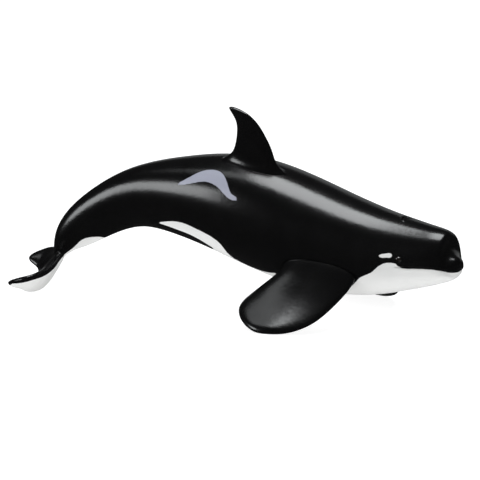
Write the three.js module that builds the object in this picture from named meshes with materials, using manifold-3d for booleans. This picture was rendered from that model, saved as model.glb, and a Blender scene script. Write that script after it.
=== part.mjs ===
// An orca figure of moulded vinyl that lies on its two flippers and its flukes.
// Millimetres. +X points to the snout, +Y to the animal's left and +Z up, and the floor is z = 0.
import * as THREE from "three";
import { mergeVertices } from "three/addons/utils/BufferGeometryUtils.js";
import Module from "manifold-3d";

const wasm = await Module();
wasm.setup();

// What stays open between two pieces that meet.
const GAP = 0.3;

// Seen from above the spine follows an arc, hollow on the animal's right.
const BEND_RADIUS = 328;
const BEND_CREST = 13.9;

// The body's stations from the snout to the root of the flukes.
// Each has the spine's place along X and its height, then the half width, what is above and what is below.
const BODY = [
  [94.7, 28.2, 0, 0, 0],
  [94.1, 28.6, 3.6, 3.8, 2.3],
  [91.6, 28, 6.1, 4.5, 4.1],
  [90, 27.5, 8.5, 14.1, 6.4],
  [83.5, 28.4, 11.2, 14.2, 9.2],
  [71.8, 27.3, 14, 17.2, 11.5],
  [57, 26.8, 17, 19.7, 15.9],
  [38.5, 29.5, 19.4, 21.5, 20.7],
  [17.5, 35.1, 20.9, 23, 23],
  [-5, 42, 20, 22.4, 22.4],
  [-28.5, 43.9, 15, 17.3, 17.3],
  [-49.2, 43.6, 9.7, 12.9, 12.6],
  [-64.5, 36.5, 7.1, 10.8, 10.6],
  [-76.1, 28.5, 5.6, 9.1, 9.5],
  [-82.3, 22.3, 4.3, 6, 6.5],
  [-85.1, 16.5, 3, 2.5, 2.7],
  [-88.2, 9.7, 0, 0, 0],
];
const BODY_ROUND = 2.1;

// The flukes' sections are a little fuller than an ellipse. The fin's and the flippers' are ellipses.
const FLUKE_ROUND = 2.3;
const FIN_ROUND = 2;

// Where the body is parted, as stations: behind the head, and before the tail stock and the flukes.
const NECK = 6.15;
const LOIN = 10.9;
const FLUKE_ROOT = 14.1;

// The mouth runs forward from its corner, in the head's own length and height.
const HEAD_HEADING = -14;
const MOUTH = [
  [0, 27.4],
  [6, 27.6],
  [12, 28],
  [16, 27.8],
  [18.5, 27.2],
  [20.3, 26.4],
  [23, 25.4],
];
const MOUTH_STEPS = 18;
const MOUTH_CORNER = 73.5;
const THROAT_BACK = 9;

// The dorsal fin's levels, up from its foot: height, rear edge, front edge and half thickness.
// The fin leans to the animal's right, and its foot falls with the back towards the head.
const DORSAL = [
  [-4.3, 0, 0, 0],
  [-3.4, -19.4, 19.4, 5.9],
  [0, -14.3, 14.2, 4.6],
  [0.8, -12.8, 13.3, 3.4],
  [3.2, -10.1, 10.6, 2.4],
  [5.7, -8.7, 9.5, 2.2],
  [9.9, -7.8, 8.2, 1.9],
  [13.3, -7.4, 6.3, 1.7],
  [17.2, -7.4, 3.9, 1.4],
  [20, -8.5, 1.6, 1.2],
  [22.9, -10.8, -2, 1],
  [24.2, -11.4, -6.7, 0.9],
  [24.5, -9.6, -9.6, 0],
];
const DORSAL_AT = [2.3, 7.9, 60.1];
const DORSAL_HEADING = -3;
const DORSAL_FALL = 7.8;
const DORSAL_LEAN = 15;

// The right flipper, whose blade bends up a little towards the tip.
// Each station has a distance out from the root, the chord's middle and its lift, then half the chord and
// half the thickness.
const FLIPPER = [
  [-8.3, 2.2, 2.3, 0, 0],
  [-7.3, 2.2, 2.1, 16.3, 4],
  [1.1, 1.6, 0.6, 15.7, 3.6],
  [6.3, -1.3, 0.2, 16.7, 3.2],
  [12.3, -4.6, -0.1, 17.3, 2.9],
  [18, -7.7, 0.1, 17.6, 2.6],
  [22.6, -9.3, 0.4, 16, 2.4],
  [27.1, -10.1, 1, 11.7, 2.1],
  [29.8, -10.9, 1.4, 6.7, 1.8],
  [31.9, -12, 1.8, 0, 0],
];
const FLIPPER_UP = 20.2;
const FLIPPER_HEADING = -10.5;
const FLIPPER_TOE_IN = 8.1;
const FLIPPER_PITCH = -4.8;
const FLIPPER_DROOP = 45;

// The side, the place along the body and the way out of each root. The left flipper is set in a little
// further forward and closer.
const FLIPPERS = {
  left: [1, 40.5, 16],
  right: [-1, 38.5, 17.8],
};

// The flukes from the middle to the tip, from the end of the spine.
// Each station has its front edge and its rear edge, forward, out and up, then the half thickness.
const FLUKE = [
  [5.2, 0, 20.1, -6.6, 0, 0.7, 2.4],
  [1.9, 4.1, 16.3, -8.8, 3.3, -0.1, 2.3],
  [1.7, 8.4, 15.4, -9.3, 7.4, 1.4, 2.6],
  [-0.2, 14.4, 13.5, -10.2, 11.9, 2.4, 2.1],
  [-2.2, 20.1, 13.2, -10.7, 15.4, 3.9, 1.7],
  [-5.6, 24, 12.5, -12.5, 17.2, 5.6, 1.4],
  [-8.9, 25, 11.7, -14.6, 18.4, 6.3, 1.8],
  [-17.8, 20.6, 9, -17.8, 20.6, 9, 0],
];
const TAIL_AT = -86.9;
const TAIL_OUT = 2.7;
const TAIL_UP = -0.2;
const TAIL_HEADING = 16.3;
const TAIL_ROLL = 1.9;

// The eyes sit low on the sides of the head.
const EYE_STATION = 4.76;
const EYE_ANGLE = 10.5;
const EYE_RADIUS = 1.1;

// The shift that sets the figure over the middle of its own footprint.
const CENTRE = [6.5, -12.74];

// Facets round and along the body, a fin, the flukes and an eye.
const BODY_FACETS = [40, 50];
const FIN_FACETS = [20, 18];
const FLUKE_FACETS = [18, 40];
const EYE_FACETS = [12, 8];

// The blocks that cut the figure into its pieces are much larger than it is.
const BLOCK = 400;

// Near a tip the run is flat across, so ways are read a little before it, over a short step.
const TIP = 0.6;
const STEP = 0.01;

const BLACK = new THREE.MeshStandardMaterial({ color: 0x0a0a0b, roughness: 0.32, metalness: 0 });
const WHITE = new THREE.MeshStandardMaterial({ color: 0xeeeeec, roughness: 0.4, metalness: 0 });

const up = new THREE.Vector3(0, 0, 1);

function radians(degrees) {
  return THREE.MathUtils.degToRad(degrees);
}

// The arc of the spine.
function bend(x) {
  return BEND_CREST - (x * x) / (2 * BEND_RADIUS);
}

// A smooth run along a list of rows, a uniform cubic B-spline.
// Past each end the next row is mirrored. The first values are kept, and the sizes after them change sign.
function along(rows, t, kept) {
  const last = rows.length - 1;
  const mirrored = (row) => row.map((value, k) => (k < kept ? value : -value));
  const row = (i) => (i < 0 ? mirrored(rows[1]) : i > last ? mirrored(rows[last - 1]) : rows[i]);
  const i = Math.min(Math.floor(t), last - 1);
  const f = t - i;
  const weights = [
    (1 - f) ** 3 / 6,
    (3 * f ** 3 - 6 * f ** 2 + 4) / 6,
    (-3 * f ** 3 + 3 * f ** 2 + 3 * f + 1) / 6,
    f ** 3 / 6,
  ];
  const value = (k) => weights.reduce((sum, weight, j) => sum + weight * row(i - 1 + j)[k], 0);
  return rows[0].map((_, k) => value(k));
}

// One point of a rounded section: middle, two half axes, and how square it is.
function rim(middle, wide, tall, angle, round) {
  const c = Math.cos(angle);
  const s = Math.sin(angle);
  const a = Math.sign(c) * Math.abs(c) ** (2 / round);
  const b = Math.sign(s) * Math.abs(s) ** (2 / round);
  return middle.clone().addScaledVector(wide, a).addScaledVector(tall, b);
}

// A closed skin: a sphere whose poles are the two ends, with each of its points put in place.
function skin([around, lengthwise], stations, place) {
  const sphere = new THREE.SphereGeometry(1, around, lengthwise);
  const position = sphere.getAttribute("position");
  const uv = sphere.getAttribute("uv");
  for (let i = 0; i < position.count; i += 1) {
    const row = Math.round((1 - uv.getY(i)) * lengthwise);
    const column = Math.round(uv.getX(i) * around) % around;
    const t = (row / lengthwise) * stations;
    const angle = (column / around) * 2 * Math.PI;
    position.setXYZ(i, ...place(t, angle).toArray());
  }
  return solid(sphere);
}

function solid(geometry) {
  const bare = geometry.clone();
  bare.deleteAttribute("normal");
  bare.deleteAttribute("uv");
  const merged = mergeVertices(bare, 1e-4);
  const triVerts = new Uint32Array(merged.index.array);
  const vertProperties = new Float32Array(merged.getAttribute("position").array);
  const made = new wasm.Manifold(new wasm.Mesh({ numProp: 3, vertProperties, triVerts }));
  if (made.volume() > 0) return made;
  for (let i = 0; i < triVerts.length; i += 3) triVerts.subarray(i, i + 2).reverse();
  return new wasm.Manifold(new wasm.Mesh({ numProp: 3, vertProperties, triVerts }));
}

// The spine's frame at a station: middle, the way to the tail, left, up, and the section's sizes.
function station(t) {
  const middle = (s) => {
    const [x, z] = along(BODY, s, 2);
    return new THREE.Vector3(x, bend(x), z);
  };
  const steady = THREE.MathUtils.clamp(t, TIP, BODY.length - 1 - TIP);
  const back = middle(steady + STEP).sub(middle(steady - STEP)).normalize();
  const left = new THREE.Vector3().crossVectors(back, up).normalize();
  const over = new THREE.Vector3().crossVectors(left, back);
  const [, , half, above, below] = along(BODY, t, 2);
  return { middle: middle(t), back, left, over, half, above, below };
}

function bodyPoint(t, angle, grown = 0) {
  const { middle, left, over, half, above, below } = station(t);
  const height = Math.sin(angle) >= 0 ? above : below;
  const wide = left.clone().multiplyScalar(half + grown);
  const tall = over.clone().multiplyScalar(height + grown);
  return rim(middle, wide, tall, angle, BODY_ROUND);
}

// The whole body, grown by a gap where other pieces are cut to it.
function body(grown = 0) {
  const stations = BODY.length - 1;
  const pole = 0.25;
  const swell = (t) => grown * Math.min(1, t / pole, (stations - t) / pole);
  return skin(BODY_FACETS, stations, (t, angle) => bodyPoint(t, angle, swell(t)));
}

// All that lies before or behind the body's section at a station.
function half(t, side, spare) {
  const { middle, back, left, over } = station(t);
  const box = new THREE.BoxGeometry(BLOCK, BLOCK, BLOCK);
  const frame = new THREE.Matrix4().makeBasis(back, over.clone().negate(), left);
  const shift = (BLOCK / 2 + spare) * side;
  frame.setPosition(middle.clone().addScaledVector(back, shift));
  return solid(box.applyMatrix4(frame));
}

const before = (t) => half(t, -1, GAP / 2);
const behind = (t) => half(t, 1, GAP / 2);

// The part of the head that the mouth line and the throat part off, grown by a gap where the head is cut.
function jawBlock(grown) {
  const line = new THREE.SplineCurve(MOUTH.map(([forward, z]) => new THREE.Vector2(forward, z)));
  const edge = line.getPoints(MOUTH_STEPS).map(({ x, y }) => new THREE.Vector2(x, y + grown));
  const corner = new THREE.Vector2(-grown, MOUTH[0][1] + grown);
  const throat = new THREE.Vector2(-THROAT_BACK - grown, 0);
  const chin = new THREE.Vector2(MOUTH[MOUTH.length - 1][0], 0);
  const outline = new THREE.Shape([throat, chin, ...edge.reverse(), ...(grown ? [corner] : [])]);
  const block = new THREE.ExtrudeGeometry(outline, { depth: BLOCK, bevelEnabled: false });
  block.translate(0, 0, -BLOCK / 2);
  block.rotateX(Math.PI / 2);
  block.rotateZ(radians(HEAD_HEADING));
  block.translate(MOUTH_CORNER, bend(MOUTH_CORNER), 0);
  return solid(block);
}

// The dorsal fin on its own three ways: forward along the foot, up the leaning blade and off its face.
function dorsalFin() {
  const way = new THREE.Euler(radians(DORSAL_LEAN), radians(DORSAL_FALL), radians(DORSAL_HEADING), "ZYX");
  const turn = new THREE.Matrix4().makeRotationFromEuler(way).setPosition(...DORSAL_AT);
  const rows = DORSAL.map(([level, rear, front, thick]) => {
    return [level, (front + rear) / 2, (front - rear) / 2, thick];
  });
  return skin(FIN_FACETS, rows.length - 1, (t, angle) => {
    const [level, ahead, halfChord, thick] = along(rows, t, 2);
    const middle = new THREE.Vector3(ahead, 0, level);
    const chord = new THREE.Vector3(halfChord, 0, 0);
    return rim(middle, chord, new THREE.Vector3(0, thick, 0), angle, FIN_ROUND).applyMatrix4(turn);
  });
}

// A flipper, to the left for side 1 and to the right for side -1.
function flipper([side, at, outBy]) {
  const heading = radians(FLIPPER_HEADING);
  const forward = new THREE.Vector3(Math.cos(heading), Math.sin(heading), 0);
  const out = new THREE.Vector3().crossVectors(up, forward).multiplyScalar(side);
  const root = new THREE.Vector3(at, bend(at), FLIPPER_UP).addScaledVector(out, outBy);
  const chord = forward.clone().applyAxisAngle(up, -side * radians(FLIPPER_TOE_IN));
  chord.z = Math.tan(radians(FLIPPER_PITCH));
  chord.normalize();
  const span = out.clone().multiplyScalar(Math.cos(radians(FLIPPER_DROOP)));
  span.addScaledVector(up, -Math.sin(radians(FLIPPER_DROOP)));
  span.addScaledVector(chord, -span.dot(chord)).normalize();
  const face = new THREE.Vector3().crossVectors(chord, span);
  return skin(FIN_FACETS, FLIPPER.length - 1, (t, angle) => {
    const [reach, shift, lift, halfChord, thick] = along(FLIPPER, t, 3);
    const middle = root.clone().addScaledVector(span, reach).addScaledVector(chord, shift);
    middle.addScaledVector(face, side * lift);
    const wide = chord.clone().multiplyScalar(halfChord);
    const tall = face.clone().multiplyScalar(thick);
    return rim(middle, wide, tall, angle, FIN_ROUND);
  });
}

// Both flukes as one blade, from the left tip to the right tip.
function flukes() {
  const mirrored = FLUKE.slice(1).map(([a, b, c, d, e, f, thick]) => [a, -b, c, d, -e, f, thick]);
  const rows = [...mirrored.reverse(), ...FLUKE].map(([a, b, c, d, e, f, thick]) => {
    return [(a + d) / 2, (b + e) / 2, (c + f) / 2, (a - d) / 2, (b - e) / 2, (c - f) / 2, thick];
  });
  const way = new THREE.Euler(radians(TAIL_ROLL), 0, radians(TAIL_HEADING), "ZYX");
  const turn = new THREE.Matrix4().makeRotationFromEuler(way).setPosition(TAIL_AT, TAIL_OUT, TAIL_UP);
  const middle = (t) => new THREE.Vector3(...along(rows, t, 3));
  const chord = (t) => new THREE.Vector3(...along(rows, t, 3).slice(3));
  return skin(FLUKE_FACETS, rows.length - 1, (t, angle) => {
    const steady = THREE.MathUtils.clamp(t, TIP, rows.length - 1 - TIP);
    const span = middle(steady + STEP).sub(middle(steady - STEP));
    const face = new THREE.Vector3().crossVectors(span, chord(steady)).normalize();
    const thick = along(rows, t, 3)[6];
    return rim(middle(t), chord(t), face.multiplyScalar(thick), angle, FLUKE_ROUND).applyMatrix4(turn);
  });
}

function ball(centre, radius) {
  return solid(new THREE.SphereGeometry(radius, ...EYE_FACETS).translate(...centre.toArray()));
}

// The ground below the level at which the resting places are cut.
function ground() {
  return solid(new THREE.BoxGeometry(BLOCK, BLOCK, BLOCK).translate(0, 0, -BLOCK / 2));
}

const figure = new THREE.Group();

function add(name, piece, material) {
  const { numProp, vertProperties, triVerts } = piece.getMesh();
  const geometry = new THREE.BufferGeometry();
  geometry.setAttribute("position", new THREE.BufferAttribute(new Float32Array(vertProperties), numProp));
  geometry.setIndex(new THREE.BufferAttribute(new Uint32Array(triVerts), 1));
  geometry.translate(...CENTRE, 0);
  geometry.computeVertexNormals();
  const mesh = new THREE.Mesh(geometry, material);
  mesh.name = name;
  figure.add(mesh);
}

const whole = body();
const clearance = body(GAP);
const eyes = { left: EYE_ANGLE, right: 180 - EYE_ANGLE };

let head = whole.intersect(before(NECK));
for (const angle of Object.values(eyes)) {
  head = head.subtract(ball(bodyPoint(EYE_STATION, radians(angle)), EYE_RADIUS + GAP));
}
add("head", head.subtract(jawBlock(GAP)), BLACK);
add("lower_jaw", head.intersect(jawBlock(0)), WHITE);
for (const [side, angle] of Object.entries(eyes)) {
  add(`eye_${side}`, ball(bodyPoint(EYE_STATION, radians(angle)), EYE_RADIUS), BLACK);
}
add("trunk", whole.intersect(behind(NECK)).intersect(before(LOIN)), BLACK);

const tail = whole.add(flukes()).intersect(behind(LOIN)).subtract(ground());
add("tail_stock", tail.intersect(before(FLUKE_ROOT)), BLACK);
const blades = tail.intersect(behind(FLUKE_ROOT));
for (const [name, side] of [["fluke_left", 1], ["fluke_right", -1]]) {
  const block = new THREE.BoxGeometry(BLOCK, BLOCK, BLOCK).translate(0, (side * (BLOCK + GAP)) / 2, 0);
  block.rotateZ(radians(TAIL_HEADING)).translate(TAIL_AT, TAIL_OUT, 0);
  add(name, blades.intersect(solid(block)), BLACK);
}

add("dorsal_fin", dorsalFin().subtract(clearance), BLACK);
for (const [side, place] of Object.entries(FLIPPERS)) {
  add(`flipper_${side}`, flipper(place).subtract(clearance).subtract(ground()), BLACK);
}

export default figure;
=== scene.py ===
# %% [markdown]
# # A vinyl orca on a lit table
# This lesson builds a solid, hand-painted toy orca about 20 cm long. It swims in a curve and lies on
# its two flippers and its tail flukes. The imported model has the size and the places, and the forms
# here follow the same stations. The looks are made here: one skin for the body, a dorsal fin and two
# flippers that are glued in, two small eyes, and three coats of paint. Where nothing else is said,
# lengths are in millimetres.

import bmesh
import bpy
import numpy as np
from mathutils import Euler, Matrix, Vector
from mathutils.bvhtree import BVHTree
from mathutils.kdtree import KDTree


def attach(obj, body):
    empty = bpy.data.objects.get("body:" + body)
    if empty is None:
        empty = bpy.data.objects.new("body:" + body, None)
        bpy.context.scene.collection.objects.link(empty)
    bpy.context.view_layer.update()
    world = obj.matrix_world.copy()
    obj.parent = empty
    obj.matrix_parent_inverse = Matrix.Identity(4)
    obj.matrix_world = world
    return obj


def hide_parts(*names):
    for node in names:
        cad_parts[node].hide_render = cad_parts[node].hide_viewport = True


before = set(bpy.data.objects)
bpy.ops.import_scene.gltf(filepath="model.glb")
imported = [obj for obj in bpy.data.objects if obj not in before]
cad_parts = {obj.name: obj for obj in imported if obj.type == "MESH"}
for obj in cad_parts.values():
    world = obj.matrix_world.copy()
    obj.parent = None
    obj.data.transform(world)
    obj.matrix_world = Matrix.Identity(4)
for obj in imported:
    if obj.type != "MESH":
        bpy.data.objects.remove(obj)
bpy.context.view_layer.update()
MM = 0.001

# %% [markdown]
# A moulded animal has no flat faces, so each of its parts is described by a few hand-sized stations:
# where the section is, how wide it is and how high. A uniform cubic B-spline runs past the stations
# and keeps the curvature even, which matters a lot on a glossy surface, because every kink shows as
# a broken highlight. Past each end the next station is mirrored, and sizes change sign there, so
# that the form closes in a round tip.

# %% The smooth run along a list of stations
def along(rows, t, places):
    """The curve at stations t. So many of the first columns are places, and the others are sizes."""
    table = np.array(rows, float)
    flip = np.where(np.arange(table.shape[1]) < places, 1.0, -1.0)
    padded = np.vstack([table[1] * flip, table, table[-2] * flip])
    i = np.minimum(np.floor(t).astype(int), len(table) - 2)
    f = (t - i)[:, None]
    weights = ((1 - f) ** 3, 3 * f**3 - 6 * f**2 + 4, -3 * f**3 + 3 * f**2 + 3 * f + 1, f**3)
    return sum(weight * padded[i + k] for k, weight in enumerate(weights)) / 6


def unit(vectors):
    return vectors / np.linalg.norm(vectors, axis=1)[:, None]


def level_way(heading):
    """A level direction, turned by the heading from straight ahead."""
    return np.array([np.cos(heading), np.sin(heading), 0])


def smoothly(value, low, high):
    """0 below low, 1 above high, and an even turn between them."""
    f = np.clip((value - low) / (high - low), 0, 1)
    return f * f * (3 - 2 * f)


# %% [markdown]
# Every section is an ellipse, or a little fuller than one. The real figure rests on the edges of
# its fins, and vinyl gives a little there. What would be below the table is therefore pressed up to
# it softly, because a straight cut would leave a hard line.

# %% A section, and the table under it
ELLIPSE = 2
PRESS = 0.25
PRESS_END = 12 * PRESS
TABLE_GAP = 0.02


def rim(middle, wide, tall, angle, roundness):
    """A point of a rounded section. More roundness than an ellipse fills its corners."""
    c, s = np.cos(angle), np.sin(angle)
    a = np.sign(c) * abs(c) ** (2 / roundness)
    b = np.sign(s) * abs(s) ** (2 / roundness)
    return middle + wide * a[:, None] + tall * b[:, None]


def rested(points):
    """Presses what would be below the table softly up to it."""
    height = points[:, 2]
    pressed = PRESS * np.log1p(np.exp(np.minimum(height, PRESS_END) / PRESS))
    points[:, 2] = TABLE_GAP + np.where(height < PRESS_END, pressed, height)
    return points


# %% [markdown]
# The body is one long spindle on a spine that curves to the animal's right and arches up between
# head and tail. Each station has the spine's place and height, then the half width, the height
# above and the depth below. An angle of 0 is the left side, 90 the back, 180 the right side and 270
# the belly. The stations are counted from near the body's middle, and CENTRE moves them so that the
# whole figure's footprint lies round the origin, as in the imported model.

# %% The body's form
BODY = [
    [94.7, 28.2, 0, 0, 0],
    [94.1, 28.6, 3.6, 3.8, 2.3],
    [91.6, 28, 6.1, 4.5, 4.1],
    [90, 27.5, 8.5, 14.1, 6.4],
    [83.5, 28.4, 11.2, 14.2, 9.2],
    [71.8, 27.3, 14, 17.2, 11.5],
    [57, 26.8, 17, 19.7, 15.9],
    [38.5, 29.5, 19.4, 21.5, 20.7],
    [17.5, 35.1, 20.9, 23, 23],
    [-5, 42, 20, 22.4, 22.4],
    [-28.5, 43.9, 15, 17.3, 17.3],
    [-49.2, 43.6, 9.7, 12.9, 12.6],
    [-64.5, 36.5, 7.1, 10.8, 10.6],
    [-76.1, 28.5, 5.6, 9.1, 9.5],
    [-82.3, 22.3, 4.3, 6, 6.5],
    [-85.1, 16.5, 3, 2.5, 2.7],
    [-88.2, 9.7, 0, 0, 0],
]
BODY_END = len(BODY) - 1
BODY_ROUNDNESS = 2.1
BEND_RADIUS = 328
BEND_CREST = 13.9
CENTRE = np.array([6.5, -12.74, 0])


def bend(x):
    return BEND_CREST - x**2 / (2 * BEND_RADIUS)


def spine(t):
    x, z = along(BODY, t, 2).T[:2]
    return np.stack([x, bend(x), z], 1)


# %% [markdown]
# Directions are read from two points a small step apart. A form has no direction at its very tip, so
# they are read a little way in from there.

# %% Points of the body's skin and the way out of it
STEP = 0.01
STEADY = 0.6
POLE = 0.03


def body_point(t, angle):
    steady = np.clip(t, STEADY, BODY_END - STEADY)
    back = unit(spine(steady + STEP) - spine(steady - STEP))
    left = unit(np.cross(back, [0, 0, 1]))
    over = np.cross(left, back)
    half, above, below = along(BODY, t, 2).T[2:]
    tall = np.where(np.sin(angle) >= 0, above, below)
    wide_way, tall_way = left * half[:, None], over * tall[:, None]
    return rim(spine(t), wide_way, tall_way, angle, BODY_ROUNDNESS) + CENTRE


def body_normal(t, angle):
    t = np.clip(t, POLE, BODY_END - POLE)
    lengthwise = body_point(t + STEP, angle) - body_point(t - STEP, angle)
    round_it = body_point(t, angle + STEP) - body_point(t, angle - STEP)
    return unit(np.cross(lengthwise, round_it))


# %% [markdown]
# A sphere is a good start for every closed form here. Its longitude becomes the angle round a
# section and its latitude becomes the station, so its two poles close the ends. The sphere can be
# refined first, where small relief needs more points, and put in place last, so that the new points
# land on the smooth form and not on the flat of the old faces.

# %% A sphere as the map of a closed skin
def ball(around, lengthwise):
    bm = bmesh.new()
    bmesh.ops.create_uvsphere(bm, u_segments=around, v_segments=lengthwise, radius=1)
    return bm


def read_map(bm, stations):
    """The station and the angle of each point of the sphere."""
    co = unit(np.array([v.co for v in bm.verts]))
    t = np.arccos(np.clip(co[:, 2], -1, 1)) / np.pi * stations
    return t, np.arctan2(co[:, 1], co[:, 0])


def refine(bm, wanted):
    """Halves the edges of the faces that have a wanted point."""
    edges = {e for f in bm.faces if any(wanted[v.index] for v in f.verts) for e in f.edges}
    bmesh.ops.subdivide_edges(bm, edges=list(edges), cuts=1, use_grid_fill=True, use_single_edge=True)
    bm.verts.index_update()


def settle(bm, points):
    """Puts each vertex at its point, given in millimetres."""
    for v, point in zip(bm.verts, points):
        v.co = point * MM
    bmesh.ops.recalc_face_normals(bm, faces=bm.faces)


# %% [markdown]
# The dorsal fin is a separate moulding with a narrow foot that is glued on the back. It is tall,
# sweeps back to a blunt tip and leans a little to the animal's right. Its stations are levels up from
# the foot: height, rear edge, front edge, half thickness. One turn then gives the whole fin its
# lean, its fall towards the head and its heading. It is built before the body, so that the body can
# be given a seam exactly where the fin enters it.

# %% The dorsal fin's form
DORSAL = [
    [-4.3, 0, 0, 0],
    [-3.4, -19.4, 19.4, 5.9],
    [0, -14.3, 14.2, 4.6],
    [0.8, -12.8, 13.3, 3.4],
    [3.2, -10.1, 10.6, 2.4],
    [5.7, -8.7, 9.5, 2.2],
    [9.9, -7.8, 8.2, 1.9],
    [13.3, -7.4, 6.3, 1.7],
    [17.2, -7.4, 3.9, 1.4],
    [20, -8.5, 1.6, 1.2],
    [22.9, -10.8, -2, 1],
    [24.2, -11.4, -6.7, 0.9],
    [24.5, -9.6, -9.6, 0],
]
DORSAL_PLACE = np.array([2.3, 7.9, 60.1])
DORSAL_LEAN, DORSAL_FALL, DORSAL_HEADING = np.radians([15, 7.8, -3])


def dorsal_point(t, angle):
    level, rear, front, thick = np.array(DORSAL).T
    rows = np.stack([level, (front + rear) / 2, (front - rear) / 2, thick], 1)
    level, ahead, half_chord, thick = along(rows, t, 2).T
    middle = np.stack([ahead, np.zeros_like(ahead), level], 1)
    flat = rim(middle, np.outer(half_chord, [1, 0, 0]), np.outer(thick, [0, 1, 0]), angle, ELLIPSE)
    turn = np.array(Euler((DORSAL_LEAN, DORSAL_FALL, DORSAL_HEADING)).to_matrix())
    return flat @ turn.T + DORSAL_PLACE + CENTRE


dorsal = ball(around=80, lengthwise=130)
settle(dorsal, dorsal_point(*read_map(dorsal, len(DORSAL) - 1)))
print("dorsal fin, faces:", len(dorsal.faces))

# %% [markdown]
# The flippers are two paddles, also glued in. Each droops steeply and lifts a little towards its tip.
# A station is the distance out from the root, the middle of the chord, its lift, half the chord and
# half the thickness, all in the blade's own directions, so that one list serves both sides. The
# left one is glued in a little further forward and closer, as hand work leaves it.

# %% The flippers' form
FLIPPER = [
    [-8.3, 2.2, 2.3, 0, 0],
    [-7.3, 2.2, 2.1, 16.3, 4],
    [1.1, 1.6, 0.6, 15.7, 3.6],
    [6.3, -1.3, 0.2, 16.7, 3.2],
    [12.3, -4.6, -0.1, 17.3, 2.9],
    [18, -7.7, 0.1, 17.6, 2.6],
    [22.6, -9.3, 0.4, 16, 2.4],
    [27.1, -10.1, 1, 11.7, 2.1],
    [29.8, -10.9, 1.4, 6.7, 1.8],
    [31.9, -12, 1.8, 0, 0],
]
FLIPPER_ROOTS = {1: (40.5, 16, 20.2), -1: (38.5, 17.8, 20.2)}
FLIPPER_HEADING, FLIPPER_TOE_IN, FLIPPER_PITCH, FLIPPER_DROOP = np.radians([-10.5, 8.1, -4.8, 45])


def flipper_axes(side):
    """The root's place, the way out along the blade, along its chord, and off its face."""
    at, out_by, up_by = FLIPPER_ROOTS[side]
    forward = level_way(FLIPPER_HEADING)
    out = side * np.cross([0, 0, 1], forward)
    root = np.array([at, bend(at), up_by]) + out * out_by + CENTRE
    chord = np.array(Matrix.Rotation(-side * FLIPPER_TOE_IN, 3, "Z") @ Vector(forward))
    chord[2] = np.tan(FLIPPER_PITCH)
    chord /= np.linalg.norm(chord)
    span = out * np.cos(FLIPPER_DROOP) - np.array([0, 0, np.sin(FLIPPER_DROOP)])
    span -= chord * (span @ chord)
    span /= np.linalg.norm(span)
    return root, span, chord, np.cross(chord, span)


def flipper_point(side, t, angle):
    reach, shift, lift, half_chord, thick = along(FLIPPER, t, 3).T
    root, span, chord, face = flipper_axes(side)
    middle = root + np.outer(reach, span) + np.outer(shift, chord) + np.outer(side * lift, face)
    return rested(rim(middle, np.outer(half_chord, chord), np.outer(thick, face), angle, ELLIPSE))


flippers = {}
for side_name, side in (("left", 1), ("right", -1)):
    flippers[side_name] = ball(around=96, lengthwise=110)
    place = read_map(flippers[side_name], len(FLIPPER) - 1)
    settle(flippers[side_name], flipper_point(side, *place))
    print("flipper", side_name, "faces:", len(flippers[side_name].faces))

# %% [markdown]
# The flukes are one blade across the end of the tail. A station runs from the middle to the tip and
# has a front edge and a rear edge, each as forward, out and up, then half the thickness. The other
# half is the same list mirrored. The flukes come out of the body's own mould, so they aren't glued
# in but joined to the body further down.

# %% The flukes' form
FLUKE = [
    [5.2, 0, 20.1, -6.6, 0, 0.7, 2.4],
    [1.9, 4.1, 16.3, -8.8, 3.3, -0.1, 2.3],
    [1.7, 8.4, 15.4, -9.3, 7.4, 1.4, 2.6],
    [-0.2, 14.4, 13.5, -10.2, 11.9, 2.4, 2.1],
    [-2.2, 20.1, 13.2, -10.7, 15.4, 3.9, 1.7],
    [-5.6, 24, 12.5, -12.5, 17.2, 5.6, 1.4],
    [-8.9, 25, 11.7, -14.6, 18.4, 6.3, 1.8],
    [-17.8, 20.6, 9, -17.8, 20.6, 9, 0],
]
FLUKE_END = 2 * len(FLUKE) - 2
FLUKE_ROUNDNESS = 2.3
FLUKE_STEP = 0.05
TAIL_PLACE = np.array([-86.9, 2.7, -0.2])
TAIL_ROLL, TAIL_HEADING = np.radians([1.9, 16.3])


def fluke_rows():
    """From tip to tip: the middle of the chord, half the chord as a vector, and half the thickness."""
    table = np.array(FLUKE)
    front, rear, thick = table[:, :3], table[:, 3:6], table[:, 6:]
    half = np.hstack([(front + rear) / 2, (front - rear) / 2, thick])
    other = half[:0:-1] * [1, -1, 1, 1, -1, 1, 1]
    return np.vstack([other, half])


def fluke_point(t, angle):
    rows = fluke_rows()
    steady = np.clip(t, STEADY, FLUKE_END - STEADY)
    span = along(rows, steady + FLUKE_STEP, 3)[:, :3] - along(rows, steady - FLUKE_STEP, 3)[:, :3]
    face = unit(np.cross(span, along(rows, steady, 3)[:, 3:6]))
    here = along(rows, t, 3)
    points = rim(here[:, :3], here[:, 3:6], face * here[:, 6:7], angle, FLUKE_ROUNDNESS)
    turn = np.array(Euler((TAIL_ROLL, 0, TAIL_HEADING)).to_matrix())
    return rested(points @ turn.T + TAIL_PLACE + CENTRE)


flukes = ball(around=56, lengthwise=200)
fluke_t, fluke_angle = read_map(flukes, FLUKE_END)
settle(flukes, fluke_point(fluke_t, fluke_angle))
print("flukes, faces:", len(flukes.faces))

# %% [markdown]
# The head carries the small relief: a mouth with a black lip that stands over the white jaw, a
# swelling round each eye, and the crescent of the blowhole. Each is a height along the skin's
# normal, written as a stroke that lies at a distance from a line or a point and has a height and a
# width, like clay that is pushed up or cut away with a modelling tool. It is real relief and not a
# bump map, because a gloss this sharp shows the difference.

# %% The mouth's line
HEAD_HEADING = np.radians(-14)
MOUTH_CORNER = 73.5
MOUTH_LINE = [
    [-4, 27.7], [0, 27.7], [6, 27.9], [12, 28.3], [16, 28.1], [18.5, 27.5], [20.3, 26.7], [23, 25.7],
]
CURVE_STEPS = 10


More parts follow.
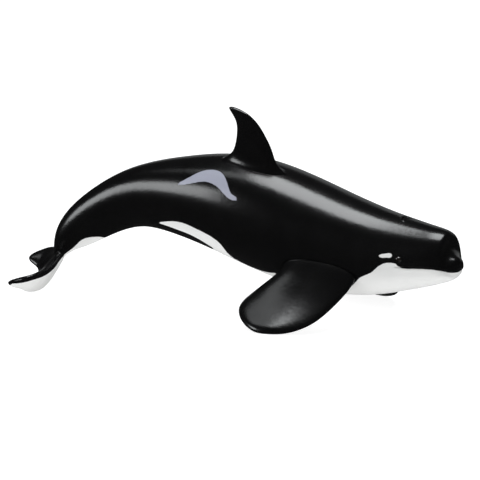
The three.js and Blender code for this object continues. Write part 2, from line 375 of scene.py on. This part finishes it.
def through(marks, closed=False):
    """A smooth curve through marks, as close points."""
    rows = np.array(marks, float)
    ends = (rows[-1], rows[0], rows[1]) if closed else (2 * rows[0] - rows[1], 2 * rows[-1] - rows[-2])
    full = np.vstack([ends[0], rows, *ends[1:]])
    f = (np.arange(CURVE_STEPS) / CURVE_STEPS)[:, None]
    spans = []
    for a, b, c, d in zip(full, full[1:], full[2:], full[3:]):
        curve = 2 * b + (c - a) * f + (2 * a - 5 * b + 4 * c - d) * f**2
        spans.append((curve + (3 * b - a - 3 * c + d) * f**3) / 2)
    return np.vstack(spans + ([] if closed else [rows[-1:]]))


def mouth_place(points):
    """How far points are ahead of the mouth's corner, and how high above the mouth's line."""
    corner = np.array([MOUTH_CORNER, bend(MOUTH_CORNER), 0]) + CENTRE
    ahead = (points - corner) @ level_way(HEAD_HEADING)
    line = through(MOUTH_LINE)
    return ahead, points[:, 2] - np.interp(ahead, line[:, 0], line[:, 1])


# %% The eyes' and the blowhole's places
EYE_STATION = 4.76
EYE_ANGLES = np.radians([10.5, 169.5])
EYES = body_point(np.full(2, EYE_STATION), EYE_ANGLES)
BLOWHOLE_STATION, BLOWHOLE_ANGLE = 5.14, np.radians(93)
BLOWHOLE = body_point(np.array([BLOWHOLE_STATION]), np.array([BLOWHOLE_ANGLE]))[0]
BLOWHOLE_HALF_WIDTH = 1.7
BLOWHOLE_CURVE = 4.4
BACK_DEPTH = 3
FAR_AWAY = 99
print("eyes at, mm:", EYES.round(1).tolist(), "blowhole at:", BLOWHOLE.round(1).tolist())


def eye_distance(points):
    return np.min([np.linalg.norm(points - eye, axis=1) for eye in EYES], axis=0)


def blowhole_distance(points):
    """The distance to a crescent across the back of the head, with its two ends to the front."""
    forward = level_way(HEAD_HEADING)
    ahead = (points - BLOWHOLE) @ forward
    across = (points - BLOWHOLE) @ np.cross([0, 0, 1], forward)
    past_end = np.maximum(abs(across) - BLOWHOLE_HALF_WIDTH, 0)
    gap = np.hypot(ahead - across**2 / BLOWHOLE_CURVE, past_end)
    return np.where(points[:, 2] > BLOWHOLE[2] - BACK_DEPTH, gap, FAR_AWAY)


# %% The relief of the head
LIP_GROOVE = {"at": -0.1, "height": -0.6, "width": 0.3}
UPPER_LIP, UPPER_LIP_HEIGHT, UPPER_LIP_DROP = {"at": 0.7, "width": 0.8}, 0.2, 0.2
LOWER_LIP, LOWER_LIP_HEIGHT, LOWER_LIP_DROP = {"at": -1.1, "width": 0.9}, 0.12, 0.4
MOUTH_FADE = (-0.9, 0.9)
MOUTH_FRONT = (10, 22)
EYELIDS = {"at": 1.5, "height": 0.06, "width": 0.45}
EYE_SOCKET = {"at": 0, "height": -0.3, "width": 0.8}
BLOWHOLE_SLIT = {"at": 0, "height": -0.9, "width": 0.4}
BLOWHOLE_RIM = {"at": 0.9, "height": 0.2, "width": 0.4}


def stroke(distance, at, height, width):
    return height * np.exp(-(((distance - at) / width) ** 2))


def head_relief(points):
    """The height of the relief. The two lips drop towards the front of the mouth."""
    ahead, over = mouth_place(points)
    at_mouth = smoothly(ahead, *MOUTH_FADE)
    at_front = smoothly(ahead, *MOUTH_FRONT)
    upper = stroke(over, height=UPPER_LIP_HEIGHT - UPPER_LIP_DROP * at_front, **UPPER_LIP)
    lower = stroke(over, height=LOWER_LIP_HEIGHT - LOWER_LIP_DROP * at_front, **LOWER_LIP)
    lips = stroke(over, **LIP_GROOVE)
    lips += np.where(over > 0, upper, 0)
    lips += np.where(over < 0, lower, 0)
    eye = eye_distance(points)
    lids = stroke(eye, **EYELIDS) + stroke(eye, **EYE_SOCKET)
    gap = blowhole_distance(points)
    hole = stroke(gap, **BLOWHOLE_SLIT) + stroke(gap, **BLOWHOLE_RIM)
    return at_mouth * lips + lids + hole


# %% [markdown]
# Where a fin enters the body, the real figure has a fine dark seam, because two mouldings meet there
# and paint doesn't fill the gap. The distance to the fin's own skin tells where that is. A shallow
# groove in the body along it gives the seam its shadow.

# %% The seams round the fins
SEAM = {"at": 0, "height": -0.4, "width": 0.3}
FIN_REACH = 3.0
glued_in = []
for bm in (dorsal, *flippers.values()):
    co = np.array([v.co for v in bm.verts]) / MM
    glued_in.append((BVHTree.FromBMesh(bm), co.min(0), co.max(0)))


def fin_distance(points):
    """The distance to the nearest glued-in fin, or the full reach where all are further."""
    found = np.full(len(points), FIN_REACH)
    for tree, low, high in glued_in:
        close = np.all((points > low - FIN_REACH) & (points < high + FIN_REACH), axis=1)
        for i in np.flatnonzero(close):
            hit = tree.find_nearest(Vector(points[i] * MM), found[i] * MM)
            if hit[0] is not None:
                found[i] = hit[3] / MM
    return found


# %% The body's skin, refined where it carries relief
LINE_SHARE = 1.5
EYE_SHARE = 1.8
body = ball(around=112, lengthwise=300)
for round_number, reach in enumerate((1.4, 0.7), 1):
    points = body_point(*read_map(body, BODY_END))
    ahead, over = mouth_place(points)
    wanted = (abs(over) < LINE_SHARE * reach) & (ahead > -reach)
    wanted |= eye_distance(points) < EYE_SHARE * reach
    wanted |= blowhole_distance(points) < LINE_SHARE * reach
    wanted |= fin_distance(points) < reach
    refine(body, wanted)
    print("skin refined", round_number, "faces:", len(body.faces))

body_t, body_angle = read_map(body, BODY_END)
points = body_point(body_t, body_angle)
raised = head_relief(points) + stroke(fin_distance(points), **SEAM)
settle(body, points + body_normal(body_t, body_angle) * raised[:, None])

# %% [markdown]
# The paint is three coats: black, white and the grey of the saddle. A brushed edge on a toy is crisp
# but not perfect. The skin therefore carries, at each of its points, the distance in millimetres to
# the nearest edge of a coat, above 0 inside it. The shader makes that distance a soft, slightly
# uneven edge, so the line stays sharp at any size. Each outline is a short list of marks: a station
# and an angle down from the back, 0 on the back and 180 on the belly, used for both sides.

# %% The outlines of the coats
WHITE_FRONT = [
    [0.95, 180], [1.28, 133], [1.58, 110], [2.79, 95], [3.28, 90], [3.85, 89], [4.31, 89], [4.55, 91],
    [4.68, 89], [4.82, 86], [5, 85], [5.17, 86], [5.34, 89], [5.46, 94], [5.55, 99], [5.69, 104],
    [5.89, 110], [6.04, 120], [6.2, 129], [6.6, 134], [7.2, 135], [7.76, 137], [8, 144], [8.2, 149],
    [8.5, 151], [8.75, 148], [8.86, 142], [8.93, 136], [9.04, 127], [9.22, 122], [9.39, 120],
    [9.64, 118], [9.89, 116], [10.13, 118], [10.4, 125], [10.55, 131], [10.45, 132.5], [10.13, 134],
    [9.77, 135], [9.4, 142], [9.29, 148], [9.4, 158], [9.8, 164], [10.4, 169], [10.8, 174], [10.9, 180],
]
WHITE_TAIL = [
    [12.5, 180], [12.56, 163], [12.62, 148], [12.77, 136], [13.05, 125], [13.35, 123], [13.75, 129],
    [14.16, 136], [14.54, 139], [14.9, 138], [15.4, 136], [15.8, 135],
]
EYE_PATCH = [
    [5.37, 77], [5.29, 75], [5.14, 73.5], [5.03, 72.5], [4.96, 74.5], [5, 78], [5.17, 79], [5.32, 79.5],
]
SADDLE = [
    [10.07, 64], [9.9, 56], [9.74, 48], [9.59, 42], [9.43, 40], [9.29, 42], [9.18, 48], [9.1, 55],
    [9.02, 62], [8.95, 66], [8.83, 68], [8.81, 70], [8.92, 72], [9.04, 70], [9.15, 66], [9.28, 61],
    [9.43, 58], [9.57, 58], [9.74, 61], [9.92, 64],
]
BACK = 90
PAST_BELLY = 200
EDGE_REACH = 9.0
TINY = 1e-9


def inside(outline, t, down):
    """Whether points of the map are inside a closed outline, by how often a line to them crosses it."""
    found = np.zeros(len(t), bool)
    for (t0, d0), (t1, d1) in zip(outline, np.roll(outline, -1, axis=0)):
        if d0 != d1:
            crossed = (d0 > down) != (d1 > down)
            found ^= crossed & (t < t0 + (down - d0) / (d1 - d0) * (t1 - t0))
    return found


def edge_distance(edge, t, down, closed):
    """The distance to an edge on the skin, above 0 inside it. An open edge closes below the belly."""
    curve = through(edge, closed=closed)
    below = [[curve[-1, 0], PAST_BELLY], [curve[0, 0], PAST_BELLY]]
    outline = curve if closed else np.vstack([curve, below])
    points = body_point(t, np.radians(BACK + down))
    drawn = body_point(curve[:, 0], np.radians(BACK + curve[:, 1]))
    drawn = np.vstack([drawn, drawn[:1]]) if closed else drawn
    nearest = np.full(len(t), EDGE_REACH)
    for a, b in zip(drawn, drawn[1:]):
        way = b - a
        part = np.clip((points - a) @ way / max(way @ way, TINY), 0, 1)
        nearest = np.minimum(nearest, np.linalg.norm(points - a - part[:, None] * way, axis=1))
    return np.where(inside(outline, t, down), nearest, -nearest)


# %% [markdown]
# At the mouth the white follows the lip and not the outline, and stops a little below the groove.

# %% The coats on the body
LIP_DEPTH = 0.45
LIP_START = (0, 3)
body_down = abs((np.degrees(body_angle) - BACK + 180) % 360 - 180)
white_front = edge_distance(WHITE_FRONT, body_t, body_down, closed=False)
white_tail = edge_distance(WHITE_TAIL, body_t, body_down, closed=False)
eye_patch = edge_distance(EYE_PATCH, body_t, body_down, closed=True)
body_saddle = edge_distance(SADDLE, body_t, body_down, closed=True)
ahead, over = mouth_place(points)
at_jaw = smoothly(ahead, *LIP_START)
white_jaw = np.clip(-LIP_DEPTH - over, -EDGE_REACH, EDGE_REACH)
white_front = white_front * (1 - at_jaw) + white_jaw * at_jaw
body_white = np.max([white_front, white_tail, eye_patch], axis=0)
print("white, share of the body's points:", round(float((body_white > 0).mean()), 3))

# %% [markdown]
# The flukes are black above and white below. The white stops short of the front edge, where a black
# band runs round it, and short of the tips, and it reaches almost to the rear edge.

# %% The coats on the flukes
FLUKE_BAND = 2.5
FLUKE_HEM = 0.3
FLUKE_TIP = 0.6
TIP_STATION_LENGTH = 6
fluke_row = along(fluke_rows(), fluke_t, 3)
half_chord = np.linalg.norm(fluke_row[:, 3:6], axis=1)
chordwise = np.cos(fluke_angle)
from_front = half_chord * (1 - chordwise)
from_rear = half_chord * (1 + chordwise)
past_tip = TIP_STATION_LENGTH * (np.minimum(fluke_t, FLUKE_END - fluke_t) - FLUKE_TIP)
below = np.minimum(from_front - FLUKE_BAND, from_rear - FLUKE_HEM)
below = np.minimum(below, past_tip)
above = -np.minimum(from_front + FLUKE_BAND, from_rear + FLUKE_HEM)
fluke_white = np.where(np.sin(fluke_angle) > 0, below, above)
print("white, share of the flukes' points:", round(float((fluke_white > 0).mean()), 3))

# %% [markdown]
# Body and flukes come out of one mould, so they are joined by a Boolean union. Points near the join
# are then smoothed, which rounds the crease as a mould's cutter would. The coats are read before
# that, from the nearest point of the two forms that were joined.

# %% One skin from body and flukes
def placed(name, data):
    """An object in the scene that shows this data."""
    made = bpy.data.objects.new(name, data)
    bpy.context.collection.objects.link(made)
    return made


def new_object(name, bm):
    mesh = bpy.data.meshes.new(name)
    bm.to_mesh(mesh)
    return placed(name, mesh)


def joined(bm, other):
    """The union of two closed forms, as a new bmesh."""
    first, second = new_object("first", bm), new_object("second", other)
    union = first.modifiers.new("union", "BOOLEAN")
    union.operation, union.solver, union.object = "UNION", "EXACT", second
    result = bmesh.new()
    result.from_object(first, bpy.context.evaluated_depsgraph_get())
    for used in (first, second):
        bpy.data.objects.remove(used)
    return result


skin = joined(body, flukes)
print("joined skin, faces:", len(skin.faces), "open edges:", sum(not e.is_manifold for e in skin.edges))

# %% The coats on the joined skin
sources = [*body.verts, *flukes.verts]
source_white = np.concatenate([body_white, fluke_white])
source_saddle = np.concatenate([body_saddle, np.full(len(fluke_t), -EDGE_REACH)])
lookup = KDTree(len(sources))
for i, v in enumerate(sources):
    lookup.insert(v.co, i)
lookup.balance()
nearest = np.array([lookup.find(v.co)[1] for v in skin.verts])
skin_coats = {"white_paint": source_white[nearest], "saddle_paint": source_saddle[nearest]}
print("points with a coat's distance:", len(nearest))

# %% A rounded join
TAIL_START = -60
JOIN_REACH = 1.1
JOIN_ROUNDS = 12
forms = (BVHTree.FromBMesh(body), BVHTree.FromBMesh(flukes))


def near_both(v):
    return all(form.find_nearest(v.co)[3] < JOIN_REACH * MM for form in forms)


join = [v for v in skin.verts if v.co.x < TAIL_START * MM and near_both(v)]
for _ in range(JOIN_ROUNDS):
    bmesh.ops.smooth_vert(
        skin, verts=join, factor=0.5, use_axis_x=True, use_axis_y=True, use_axis_z=True)
print("points smoothed at the join:", len(join))
body.free()
flukes.free()

# %% [markdown]
# Every finish here is paint on vinyl, and all of them share the same small faults: a fine orange
# peel in the gloss, slight differences in sheen, and colour that isn't perfectly even. The shaders
# are written with one small helper. It wraps a socket, so that sums and products of it add Math
# nodes, one method adds any other node, and another ends the wire in a socket of a node.

# %% A helper for materials
class Wire:
    def __init__(self, tree, socket=None):
        self.tree, self.socket = tree, socket

    def node(self, kind, settings, inputs, output=0):
        """A node with its settings, then the values or wires of its sockets."""
        made = self.tree.nodes.new(kind)
        for name, value in settings.items():
            setattr(made, name, value)
        for key, value in inputs.items():
            if isinstance(value, Wire):
                value.into(made, key)
            else:
                made.inputs[key].default_value = value
        return Wire(self.tree, made.outputs[output])

    def into(self, node, key):
        self.tree.links.new(self.socket, node.inputs[key])

    def maths(self, operation, other):
        return self.node("ShaderNodeMath", {"operation": operation}, {0: self, 1: other})

    def __add__(self, other):
        return self.maths("ADD", other)

    def __sub__(self, other):
        return self.maths("SUBTRACT", other)

    def __mul__(self, other):
        return self.maths("MULTIPLY", other)

    def mixed(self, first, second):
        """A colour between two, by this mask."""
        return self.node("ShaderNodeMix", {"data_type": "RGBA"}, {0: self, 6: first, 7: second}, 2)


def new_material(name, values):
    """A material, its surface node with these values, and a wire to start from."""
    made = bpy.data.materials.new(name)
    made.use_nodes = True
    surface = made.node_tree.nodes["Principled BSDF"]
    for key, value in values.items():
        surface.inputs[key].default_value = value
    return made, surface, Wire(made.node_tree)


# %% Noise, and the mask of a coat
BRUSH_GRAIN = 1.1
BRUSH_WAVE = 0.35
EDGE_SOFTNESS = 0.13


def noise(wire, grain, detail=2):
    """Soft noise from 0 to 1 with grains of about that size."""
    where = wire.node("ShaderNodeTexCoord", {}, {}, "Object")
    inputs = {"Vector": where, "Scale": 1 / (grain * MM), "Detail": detail, "Roughness": 0.5}
    return wire.node("ShaderNodeTexNoise", {}, inputs, "Fac")


def coat(wire, attribute):
    """A mask for a coat of paint, from the distance to its edge."""
    distance = wire.node("ShaderNodeAttribute", {"attribute_name": attribute}, {}, "Fac")
    wavy = distance + (noise(wire, BRUSH_GRAIN) - 0.5) * BRUSH_WAVE
    inputs = {"Value": wavy, "From Min": -EDGE_SOFTNESS, "From Max": EDGE_SOFTNESS}
    return wire.node("ShaderNodeMapRange", {"interpolation_type": "SMOOTHSTEP"}, inputs)


# %% [markdown]
# Black paint over black vinyl stays very dark, so nearly all that shows of it is the gloss. The white
# and the grey are a little less glossy. The peel is two sizes of low bumps.

# %% The painted vinyl
BLACK = (0.0015, 0.0015, 0.0017, 1)
BLACK_WORN = (0.003, 0.003, 0.0032, 1)
WHITE = (0.84, 0.84, 0.83, 1)
WHITE_DULL = (0.76, 0.76, 0.75, 1)
GREY = (0.4, 0.41, 0.49, 1)
GREY_DEEP = (0.34, 0.35, 0.43, 1)
BLACK_SHEEN = 0.2
WHITE_SHEEN = 0.38
CLOUD_GRAIN, CLOUD_SHEEN = 9, 0.07
FINE_GRAIN, FINE_SHEEN = 0.55, 0.05
PEEL_GRAIN, PEEL_FINE_GRAIN, PEEL_FINE_SHARE = 3.5, 0.8, 0.6
PEEL_STRENGTH, PEEL_HEIGHT = 0.16, 0.25


def painted_vinyl(name, coats):
    made, surface, wire = new_material(name, {"IOR": 1.55})
    cloud = noise(wire, CLOUD_GRAIN, detail=3)
    fine = noise(wire, FINE_GRAIN, detail=3)
    colour = cloud.mixed(BLACK, BLACK_WORN)
    sheen = (cloud - 0.5) * CLOUD_SHEEN + (fine - 0.5) * FINE_SHEEN + BLACK_SHEEN
    if coats:
        white, grey = coat(wire, "white_paint"), coat(wire, "saddle_paint")
        colour = white.mixed(colour, cloud.mixed(WHITE, WHITE_DULL))
        colour = grey.mixed(colour, cloud.mixed(GREY, GREY_DEEP))
        sheen = sheen + (white + grey) * (WHITE_SHEEN - BLACK_SHEEN)
    peel = noise(wire, PEEL_FINE_GRAIN) * PEEL_FINE_SHARE + noise(wire, PEEL_GRAIN)
    inputs = {"Strength": PEEL_STRENGTH, "Distance": PEEL_HEIGHT * MM, "Height": peel}
    relief = wire.node("ShaderNodeBump", {}, inputs)
    for key, value in (("Base Color", colour), ("Roughness", sheen), ("Normal", relief)):
        value.into(surface, key)
    return made


black_paint = painted_vinyl("black_paint_on_vinyl", coats=False)
orca_paint = painted_vinyl("orca_paint_on_vinyl", coats=True)
for paint in (black_paint, orca_paint):
    print(paint.name, "nodes:", len(paint.node_tree.nodes))

# %% [markdown]
# The eyes are dots of high gloss lacquer, so they need a clear coat over the black.

# %% The eye's lacquer
EYE_BLACK = (0.006, 0.005, 0.005, 1)
EYE_BROWN = (0.014, 0.01, 0.009, 1)
EYE_GRAIN = 1.2
LACQUER = {"Roughness": 0.12, "Coat Weight": 1, "Coat Roughness": 0.04}

eye_lacquer, surface, wire = new_material("eye_lacquer", LACQUER)
noise(wire, EYE_GRAIN).mixed(EYE_BLACK, EYE_BROWN).into(surface, "Base Color")
print("eye lacquer:", LACQUER)

# %% [markdown]
# A finished piece rides on the imported model's one body, takes its finish, and says which imported
# nodes it stands for, which are then hidden.

# %% Finishing a piece
def finish_piece(name, bm, material, nodes, coats=None):
    """Makes the object, gives it its finish and puts it in place of its nodes."""
    made = new_object(name, bm)
    for attribute, values in (coats or {}).items():
        layer = made.data.attributes.new(attribute, "FLOAT", "POINT")
        layer.data.foreach_set("value", values.astype(np.float32))
    made.data.shade_smooth()
    made.data.materials.append(material)
    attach(made, "root")
    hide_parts(*nodes)
    print(name, "triangles:", sum(len(f.verts) - 2 for f in bm.faces))
    bm.free()


flesh = ("head", "lower_jaw", "trunk", "tail_stock", "fluke_left", "fluke_right")
finish_piece("orca_skin", skin, orca_paint, flesh, skin_coats)
finish_piece("dorsal_fin_moulding", dorsal, black_paint, ["dorsal_fin"])
for side_name, bm in flippers.items():
    nodes = [f"flipper_{side_name}"]
    finish_piece(f"flipper_moulding_{side_name}", bm, black_paint, nodes)

# %% [markdown]
# Each eye is a small dome that stands a little out of its lids. A flattened ball is enough at this
# size: its highlight is what makes the face look awake.

# %% The eyes
EYE_RADIUS = 1.15
EYE_STRETCH = (1.1, 0.9, 0.72)
EYE_SEAT = 0.15
ways_out = body_normal(np.full(2, EYE_STATION), EYE_ANGLES)
for side_name, place, way_out in zip(("left", "right"), EYES, ways_out):
    dome = bmesh.new()
    bmesh.ops.create_uvsphere(dome, u_segments=32, v_segments=20, radius=EYE_RADIUS * MM)
    bmesh.ops.scale(dome, vec=EYE_STRETCH, verts=dome.verts)
    turn = Vector(way_out).to_track_quat("Z", "Y").to_matrix().to_4x4()
    seat = Matrix.Translation(Vector((place - way_out * EYE_SEAT) * MM)) @ turn
    bmesh.ops.transform(dome, matrix=seat, verts=dome.verts)
    finish_piece(f"eye_dome_{side_name}", dome, eye_lacquer, [f"eye_{side_name}"])

# %% [markdown]
# The figure lies on a pale table that glows softly, as small things are photographed for a
# catalogue. The glow lifts the white belly and keeps the shadows faint. The table isn't mirrored in
# the black gloss, so that the flanks stay deep. Sizes and places from here on are in metres.

# %% The table
TABLE_HALF = 5
TABLE_GREY = (0.45, 0.45, 0.45, 1)
LIGHT_WHITE = (1, 1, 1, 1)
PALE_FINISH = {
    "Base Color": TABLE_GREY,
    "Roughness": 0.8,
    "Emission Color": LIGHT_WHITE,
    "Emission Strength": 0.9,
}
table_top = bmesh.new()
bmesh.ops.create_grid(table_top, x_segments=2, y_segments=2, size=TABLE_HALF)
table = new_object("table", table_top)
table_top.free()
table.data.materials.append(new_material("pale_table", PALE_FINISH)[0])
table.visible_glossy = False
print("table, metres across:", 2 * TABLE_HALF)

# %% [markdown]
# One soft box hangs over the figure and draws the long highlight down its back. A weak one beside it
# gives the right flipper its faint gloss. Another stands low to the right of the tail and picks out
# the tail stock, and a very weak one on the far, left side rounds off the upper edge of the back. All
# four are a little cool.

# %% The lights
LAMP_COLOUR = (0.96, 0.99, 1)
HANGING_HEIGHT = 1.5
OFF_PLUMB = 0.0001
FIGURE_MIDDLE = (0, 0, 0.04)


def aim(made, place, target):
    """Puts a light or a camera in its place and turns it to its target."""
    made.location = place
    made.rotation_euler = (Vector(target) - Vector(place)).to_track_quat("-Z", "Y").to_euler()


def soft_box(name, place, target, size, radiance):
    """An even, flat light. Its power follows from its area and from how bright it should look."""
    lamp = bpy.data.lights.new(name, "AREA")
    lamp.shape, lamp.size, lamp.size_y = "RECTANGLE", size[0], size[1]
    lamp.energy = radiance * np.pi * size[0] * size[1]
    lamp.color = LAMP_COLOUR
    made = placed(name, lamp)
    aim(made, place, target)
    made.visible_camera = False
    print(name, "watts:", round(lamp.energy, 2))


def hanging(x, y):
    """A place high over the table, and a target so little off plumb that it only settles the turn."""
    return (x, y, HANGING_HEIGHT), (x, y + OFF_PLUMB, 0)


def on_ring(azimuth, elevation, distance):
    """A place round the figure. Azimuth 0 is on its right and 90 ahead of it."""
    a, e = np.radians([azimuth, elevation])
    return Vector((np.sin(a) * np.cos(e), -np.cos(a) * np.cos(e), np.sin(e))) * distance


soft_box("overhead_box", *hanging(0.05, -0.13), size=(0.84, 0.92), radiance=7.8)
soft_box("flipper_box", *hanging(-0.78, -0.38), size=(0.62, 0.36), radiance=1.6)
soft_box("tail_box", on_ring(-46, 18, 1.6), FIGURE_MIDDLE, size=(0.5, 0.56), radiance=6.2)
soft_box("back_box", on_ring(180, 14, 1.8), FIGURE_MIDDLE, size=(3, 0.9), radiance=0.25)

# %% [markdown]
# Beyond the table the room is pale to the eye but adds little light, so that the soft boxes decide
# how the figure looks.

# %% The room
ROOM_LIGHT = 0.03
ROOM_SEEN = 0.87
room = bpy.data.worlds.new("room")
room.use_nodes = True
walls = room.node_tree.nodes["Background"]
walls.inputs["Color"].default_value = LIGHT_WHITE
seen = Wire(room.node_tree).node("ShaderNodeLightPath", {}, {}, "Is Camera Ray")
(seen * ROOM_SEEN + ROOM_LIGHT).into(walls, "Strength")
bpy.context.scene.world = room
bpy.context.scene.view_settings.view_transform = "Standard"
print("light from the room:", ROOM_LIGHT)

# %% [markdown]
# The camera stands ahead of the figure's right side and a little above it. It is a metre away and
# has a long lens, so that the near flipper doesn't look too large beside the tail.

# %% The camera
CAMERA_PLACE = on_ring(24, 13, 1.0)
LENS, SENSOR = 183.75, 36
TARGET_SHIFT, TARGET_HEIGHT = -0.1, 30.35
TARGET = Vector((CENTRE[0] + TARGET_SHIFT, CENTRE[1], TARGET_HEIGHT)) * MM
lens = bpy.data.cameras.new("camera")
lens.lens, lens.sensor_width = LENS, SENSOR
lens.clip_start, lens.clip_end = 0.01, 30
camera = placed("camera", lens)
aim(camera, TARGET + CAMERA_PLACE, TARGET)
bpy.context.scene.camera = camera
print("camera at, metres:", [round(c, 3) for c in camera.location])
